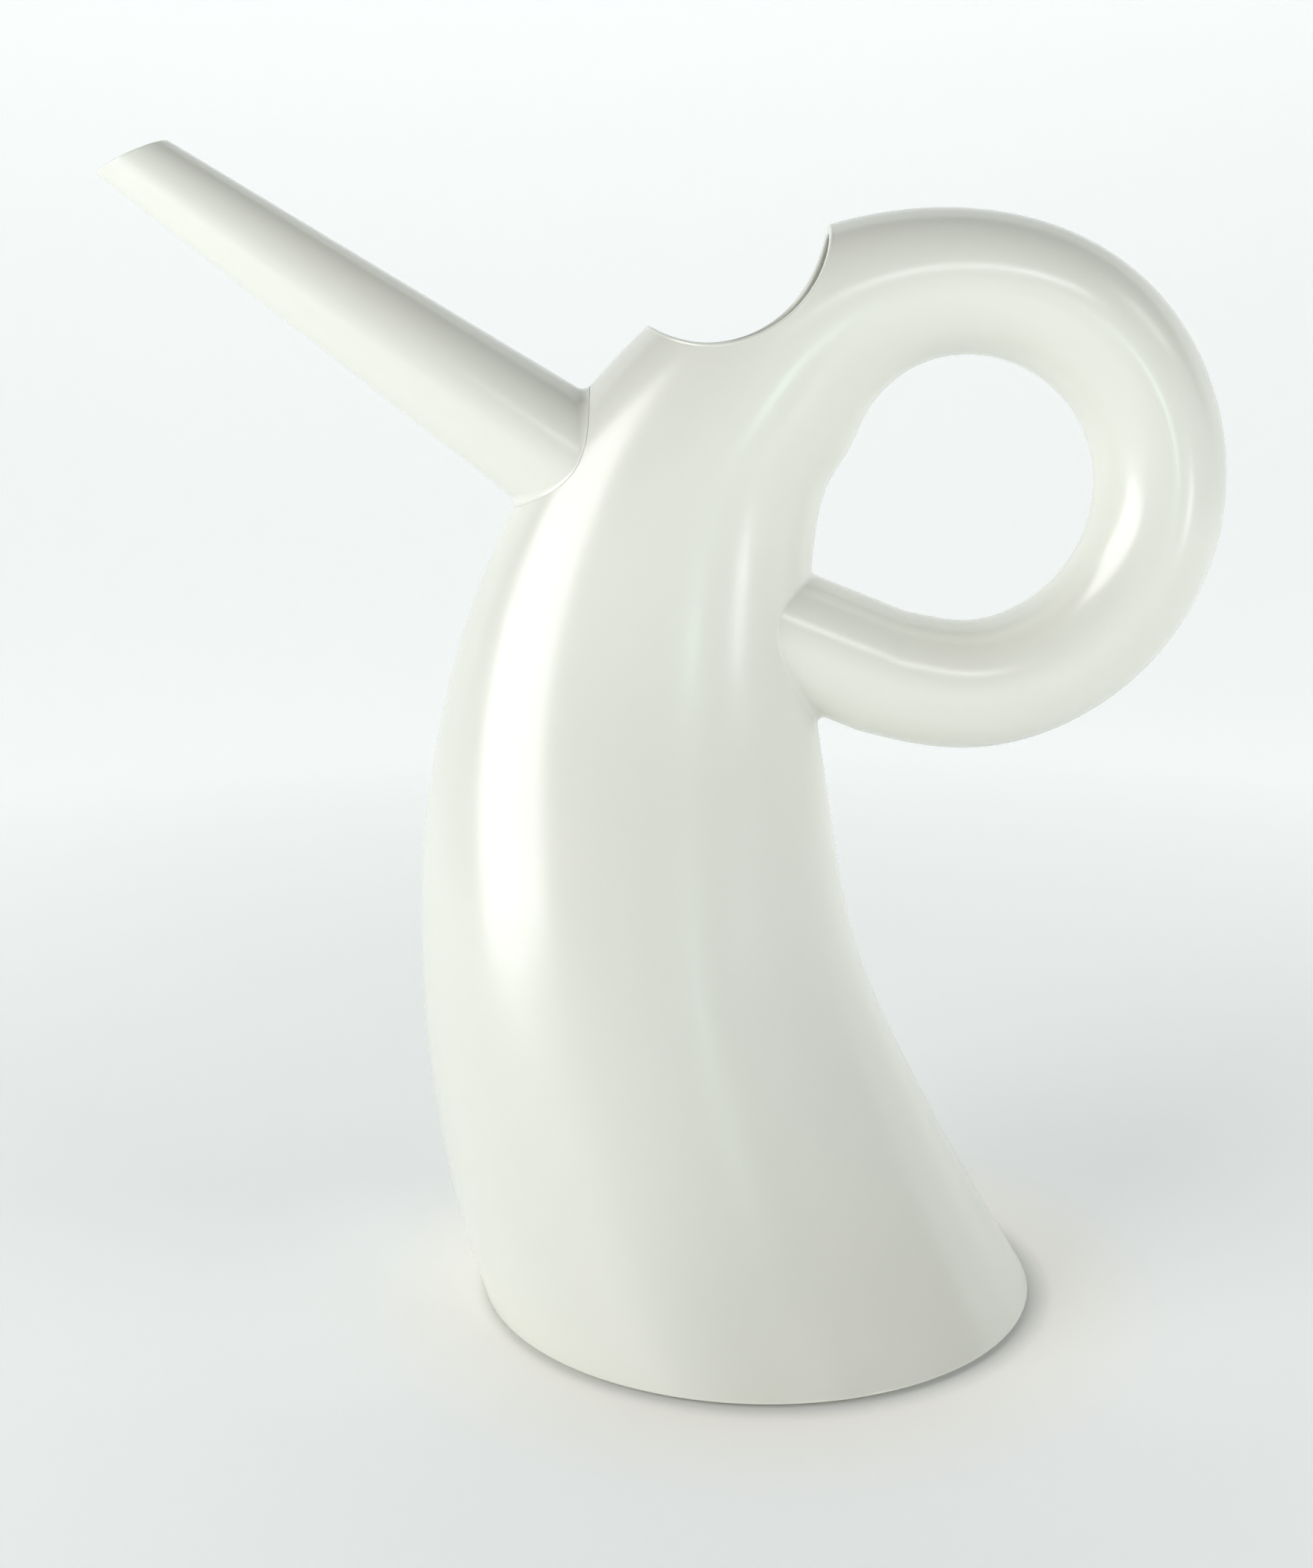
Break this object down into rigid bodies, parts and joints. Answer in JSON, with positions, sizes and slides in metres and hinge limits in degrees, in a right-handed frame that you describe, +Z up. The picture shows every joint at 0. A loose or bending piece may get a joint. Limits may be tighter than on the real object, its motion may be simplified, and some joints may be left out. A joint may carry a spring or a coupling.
{
  "type": "watering can",
  "caption": "Glossy moulded watering can: a leaning hollow body curls over into its own carrying loop, with a round bite as filling mouth and a straight pull-out tapered spout.",
  "frame": {"origin": "on the floor, at the middle of the foot ring", "axes": "+Z up, -X the way the spout points, +X towards the carrying loop, Y across the body's plane of symmetry"},
  "size_m": [0.289, 0.1508, 0.308],
  "materials": {
    "body": "glossy warm white, polished mould",
    "spout": "glossy warm white, polished mould",
    "base": "fine spark-eroded white",
    "socket": "plain white, smooth bore",
    "seal": "smooth black"
  },
  "bodies": {
    "can": {"body_shell_left": "body", "body_shell_right": "body", "base_plate": "base", "spout_socket": "socket"},
    "spout": {"spout": "spout", "spout_seal": "seal"}
  },
  "joints": [
    {"name": "spout_pull", "type": "slide", "parent": "can", "child": "spout", "axis": [-0.8251, 0, 0.565], "range_m": [0, 0.045]}
  ]
}
